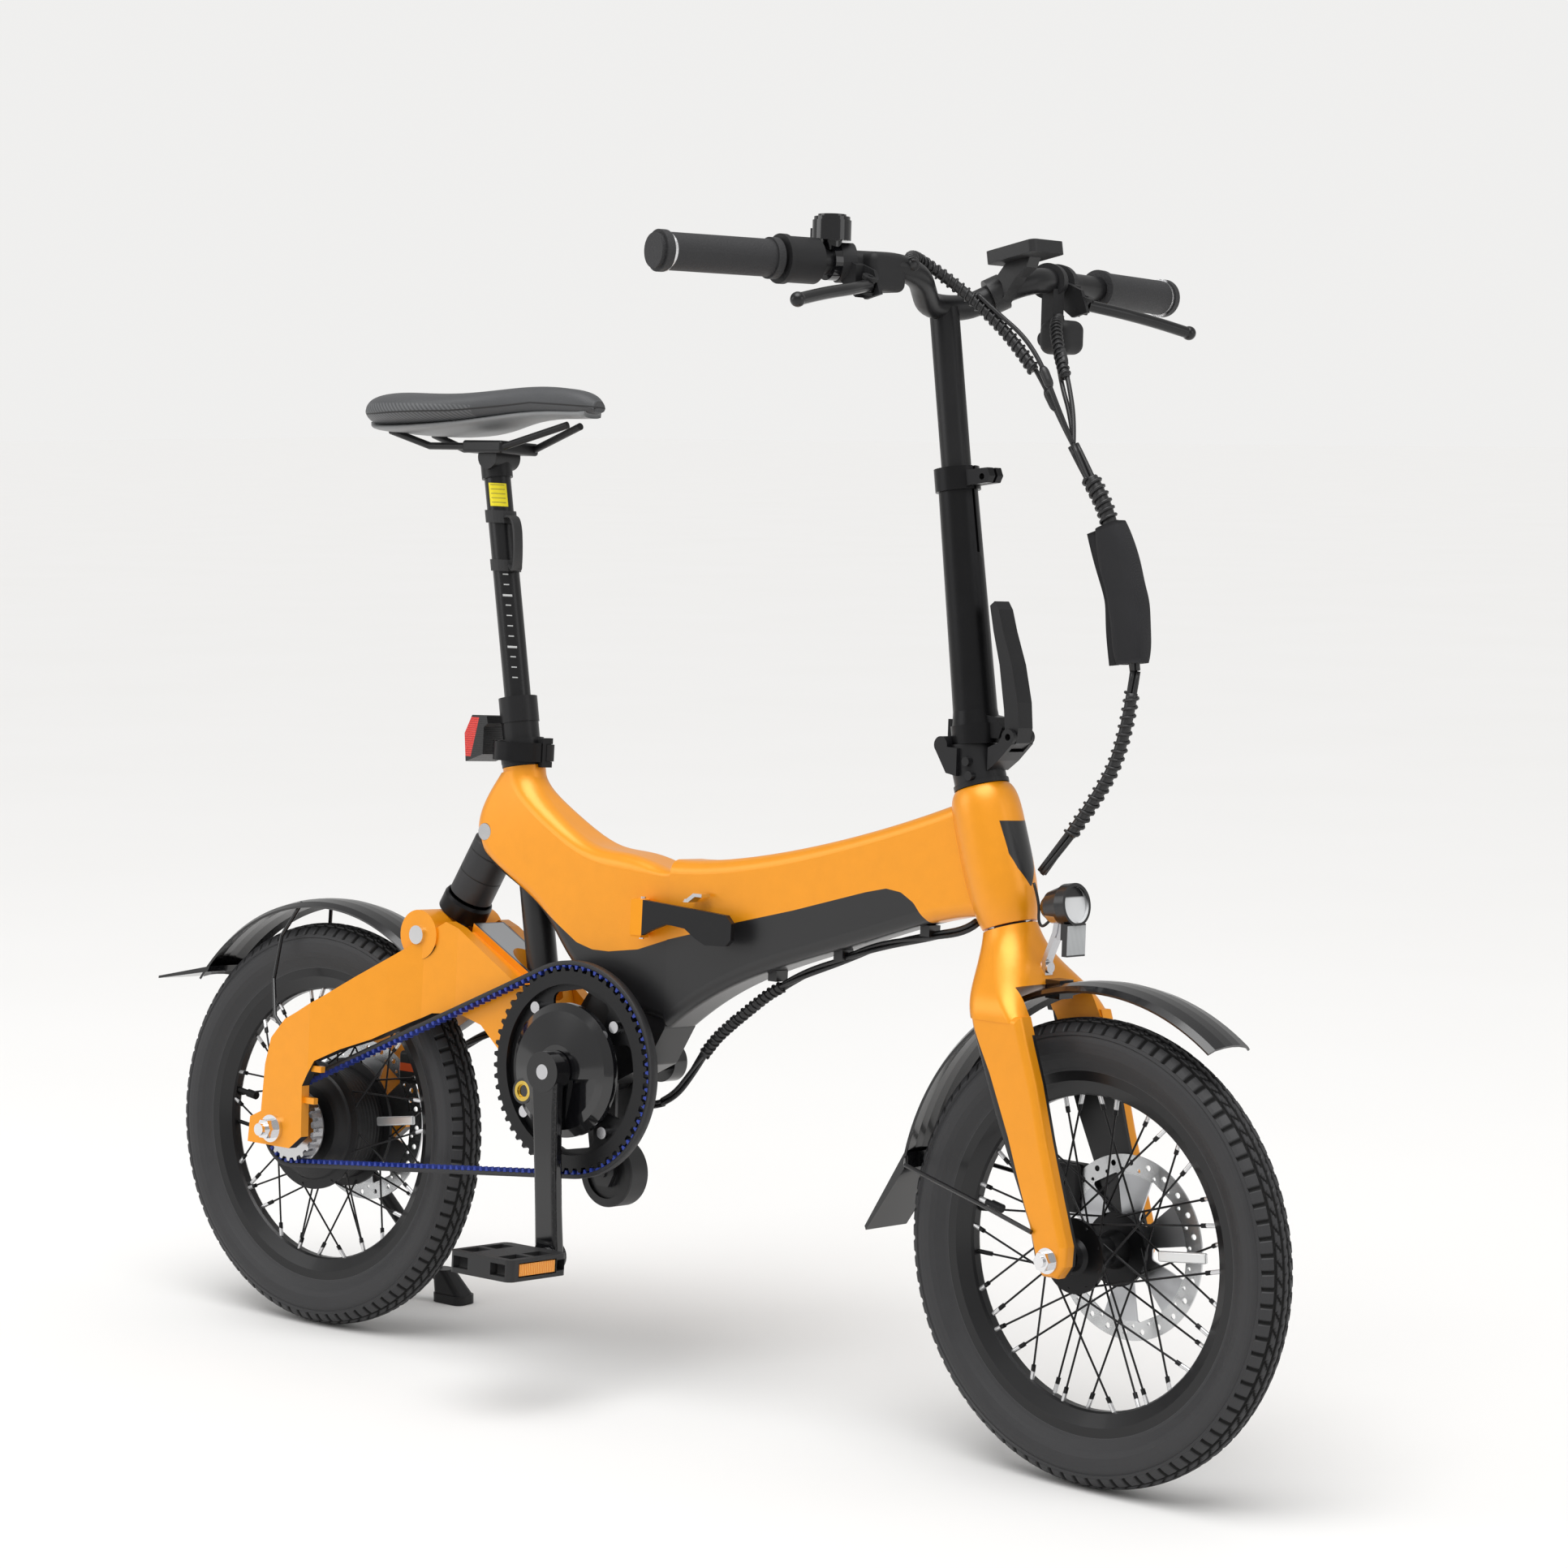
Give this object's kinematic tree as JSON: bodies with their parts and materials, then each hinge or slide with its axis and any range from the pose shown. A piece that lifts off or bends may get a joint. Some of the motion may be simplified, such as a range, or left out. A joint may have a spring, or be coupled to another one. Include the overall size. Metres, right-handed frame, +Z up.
{
  "type": "folding bicycle",
  "caption": "Folding electric bicycle with a hinged frame, sprung rear arm, belt drive, hub motor and folding stem, standing on its side stand.",
  "frame": {"origin": "on the floor, at the centre of the bicycle's footprint as it leans on its side stand", "axes": "+X from the rear wheel to the front wheel, +Y to the rider's left, +Z up"},
  "size_m": [1.3599, 0.6406, 1.0755],
  "materials": {
    "orange_paint": "satin metallic orange",
    "black_metal": "satin black",
    "black_anodised": "black anodised",
    "gloss_black": "glossy black",
    "matte_black": "matt black moulded",
    "tyre_rubber": "black rubber",
    "grip_rubber": "grey black rubber",
    "belt": "black toothed belt with a blue inner face",
    "steel": "brushed steel",
    "chrome": "polished",
    "rotor_steel": "bright stamped steel",
    "spoke_black": "black spokes with silver nipples and a white reflector",
    "saddle_cover": "dark grey padded cover",
    "lamp": "black housing with a clear lens",
    "tail_lens": "black housing with a red lens",
    "cable": "black spiral wrapped cable",
    "battery": "shrink wrapped cells"
  },
  "bodies": {
    "rear_frame": {"rear_frame": "orange_paint", "frame_pins": "steel", "bottom_bracket_unit": "steel", "gear_cover": "gloss_black", "seat_clamp": "black_metal", "tail_light": "tail_lens", "drive_belt": "belt"},
    "front_frame": {"front_frame": "orange_paint", "battery_pack": "battery", "headset_bearings": "steel", "frame_cables": "cable"},
    "frame_latch_lever": {"frame_latch_lever": "black_metal"},
    "frame_safety_catch": {"frame_safety_catch": "steel"},
    "swingarm": {"swingarm": "orange_paint", "swingarm_fasteners": "chrome", "rear_fender": "gloss_black", "rear_caliper": "black_anodised"},
    "shock_body": {"shock_body": "black_metal"},
    "shock_rod": {"shock_rod": "black_anodised"},
    "rear_wheel": {"rear_tyre": "tyre_rubber", "rear_rim": "black_anodised", "rear_spokes": "spoke_black", "hub_motor": "black_metal", "rear_rotor": "rotor_steel"},
    "rear_cog": {"rear_cog": "steel"},
    "crank": {"chainring": "black_anodised", "crank_arms": "gloss_black", "crank_axle": "chrome"},
    "pedal_right": {"pedal_right": "matte_black"},
    "pedal_left": {"pedal_left": "matte_black"},
    "kickstand": {"kickstand": "matte_black"},
    "roller": {"roller": "matte_black"},
    "steering": {"fork": "orange_paint", "headlight": "lamp", "front_fender": "gloss_black", "front_caliper": "black_anodised", "front_axle": "chrome", "stem_base": "black_metal", "handlebar_cables": "cable"},
    "front_wheel": {"front_tyre": "tyre_rubber", "front_rim": "black_anodised", "front_spokes": "spoke_black", "front_hub": "black_anodised", "front_rotor": "rotor_steel"},
    "stem_post": {"stem_post": "black_metal"},
    "stem_lever": {"stem_lever": "black_metal"},
    "handlebar": {"handlebar": "black_metal", "grips": "grip_rubber", "bar_controls": "matte_black", "display": "gloss_black", "bell": "gloss_black"},
    "twist_shifter": {"twist_shifter": "matte_black"},
    "brake_lever_right": {"brake_lever_right": "black_anodised"},
    "brake_lever_left": {"brake_lever_left": "black_anodised"},
    "bell_striker": {"bell_striker": "matte_black"},
    "mode_button": {"mode_button": "matte_black"},
    "seat_post": {"seat_post": "black_anodised", "saddle_clamp": "black_metal", "saddle": "saddle_cover"},
    "seat_lever": {"seat_lever": "black_metal"}
  },
  "joints": [
    {"name": "frame_fold", "type": "hinge", "parent": "rear_frame", "child": "front_frame", "pos_m": [0.00666, -0.00735, 0.41703], "axis": [0, 0.0785, 0.9969], "range_deg": [0, 105], "deforming": ["frame_cables"]},
    {"name": "frame_latch", "type": "hinge", "parent": "rear_frame", "child": "frame_latch_lever", "pos_m": [-0.01734, -0.07541, 0.44445], "axis": [0, -0.0785, -0.9969], "range_deg": [0, 95]},
    {"name": "safety_catch", "type": "hinge", "parent": "frame_latch_lever", "child": "frame_safety_catch", "pos_m": [0.04066, -0.07674, 0.46582], "axis": [0, -0.9969, 0.0785], "range_deg": [0, 20], "stiffness_Nm_per_rad": 0.01, "springref_deg": -17.19},
    {"name": "swingarm_pivot", "type": "hinge", "parent": "rear_frame", "child": "swingarm", "pos_m": [-0.12834, -0.05033, 0.31709], "axis": [0, 0.9969, -0.0785], "range_deg": [0, 5.9], "stiffness_Nm_per_rad": 2000, "springref_deg": -1.72, "deforming": ["drive_belt", "frame_cables"]},
    {"name": "shock_pivot", "type": "hinge", "parent": "rear_frame", "child": "shock_body", "pos_m": [-0.23134, -0.03546, 0.50601], "axis": [0, 0.9969, -0.0785], "range_deg": [-2, 2]},
    {"name": "shock_slide", "type": "slide", "parent": "shock_body", "child": "shock_rod", "axis": [0.5015, 0.0679, 0.8625], "range_m": [0, 0.026]},
    {"name": "rear_wheel_spin", "type": "hinge", "parent": "swingarm", "child": "rear_wheel", "pos_m": [-0.44834, -0.05958, 0.19945], "axis": [0, 0.9969, -0.0785], "continuous": true},
    {"name": "crank_spin", "type": "hinge", "parent": "rear_frame", "child": "crank", "pos_m": [-0.08134, -0.05197, 0.29616], "axis": [0, 0.9969, -0.0785], "continuous": true, "deforming": ["drive_belt"]},
    {"name": "cog_spin", "type": "hinge", "parent": "swingarm", "child": "rear_cog", "pos_m": [-0.44834, -0.10943, 0.20338], "axis": [0, 0.9969, -0.0785], "continuous": true, "deforming": ["drive_belt"]},
    {"name": "pedal_right_spin", "type": "hinge", "parent": "crank", "child": "pedal_right", "pos_m": [-0.06652, -0.20483, 0.13831], "axis": [0, 0.9969, -0.0785], "continuous": true},
    {"name": "pedal_left_spin", "type": "hinge", "parent": "crank", "child": "pedal_left", "pos_m": [-0.09616, 0.10088, 0.454], "axis": [0, 0.9969, -0.0785], "continuous": true},
    {"name": "kickstand_swing", "type": "hinge", "parent": "swingarm", "child": "kickstand", "pos_m": [-0.51034, 0.02915, 0.15435], "axis": [0, 0.9969, -0.0785], "range_deg": [0, 110]},
    {"name": "roller_spin", "type": "hinge", "parent": "rear_frame", "child": "roller", "pos_m": [-0.06734, -0.05966, 0.19846], "axis": [0, 0.9969, -0.0785], "continuous": true},
    {"name": "steering_turn", "type": "hinge", "parent": "front_frame", "child": "steering", "pos_m": [0.35366, -0.03393, 0.52545], "axis": [-0.3057, 0.0747, 0.9492], "range_deg": [-60, 70], "deforming": ["handlebar_cables"]},
    {"name": "front_wheel_spin", "type": "hinge", "parent": "steering", "child": "front_wheel", "pos_m": [0.48058, -0.0614, 0.19976], "axis": [0.083, 0.9952, -0.0516], "continuous": true},
    {"name": "stem_fold", "type": "hinge", "parent": "steering", "child": "stem_post", "pos_m": [0.30871, -0.02527, 0.62008], "axis": [-0.083, -0.9952, 0.0516], "range_deg": [0, 85], "deforming": ["handlebar_cables"]},
    {"name": "stem_latch", "type": "hinge", "parent": "steering", "child": "stem_lever", "pos_m": [0.37348, -0.03014, 0.63041], "axis": [0.083, 0.9952, -0.0516], "range_deg": [0, 120]},
    {"name": "bar_height", "type": "slide", "parent": "stem_post", "child": "handlebar", "axis": [-0.1489, 0.0636, 0.9868], "range_m": [-0.06, 0.04], "deforming": ["handlebar_cables"]},
    {"name": "throttle_twist", "type": "hinge", "parent": "handlebar", "child": "twist_shifter", "pos_m": [0.25035, -0.1808, 1.03622], "axis": [-0.2973, -0.954, 0.0373], "range_deg": [0, 60], "stiffness_Nm_per_rad": 0.1, "springref_deg": -17.19},
    {"name": "brake_right_squeeze", "type": "hinge", "parent": "handlebar", "child": "brake_lever_right", "pos_m": [0.29508, -0.141, 1.01572], "axis": [-0.413, 0.0605, -0.9087], "range_deg": [0, 18], "stiffness_Nm_per_rad": 3, "springref_deg": -8.59},
    {"name": "brake_left_squeeze", "type": "hinge", "parent": "handlebar", "child": "brake_lever_left", "pos_m": [0.32907, 0.12658, 1.00361], "axis": [0.4253, 0.0361, 0.9043], "range_deg": [0, 18], "stiffness_Nm_per_rad": 3, "springref_deg": -8.59},
    {"name": "bell_strike", "type": "hinge", "parent": "handlebar", "child": "bell_striker", "pos_m": [0.24075, -0.14471, 1.04882], "axis": [-0.1259, -0.991, 0.0449], "range_deg": [0, 20], "stiffness_Nm_per_rad": 0.0005, "springref_deg": -17.19},
    {"name": "mode_press", "type": "slide", "parent": "handlebar", "child": "mode_button", "axis": [0.992, -0.1257, 0.0075], "range_m": [0, 0.002], "stiffness_N_per_m": 100, "springref_m": -0.001},
    {"name": "seat_height", "type": "slide", "parent": "rear_frame", "child": "seat_post", "axis": [-0.1886, 0.0771, 0.979], "range_m": [-0.07, 0.03]},
    {"name": "seat_clamp_open", "type": "hinge", "parent": "rear_frame", "child": "seat_lever", "pos_m": [-0.18259, -0.02232, 0.58372], "axis": [0, 0.0785, 0.9969], "range_deg": [0, 110]}
  ],
  "couplings": [
    {"joint": "cog_spin", "follows": "crank_spin", "ratio": 2.75},
    {"joint": "shock_pivot", "follows": "swingarm_pivot", "ratio": -0.0049},
    {"joint": "shock_slide", "follows": "swingarm_pivot", "m_per_rad": 0.1842}
  ]
}
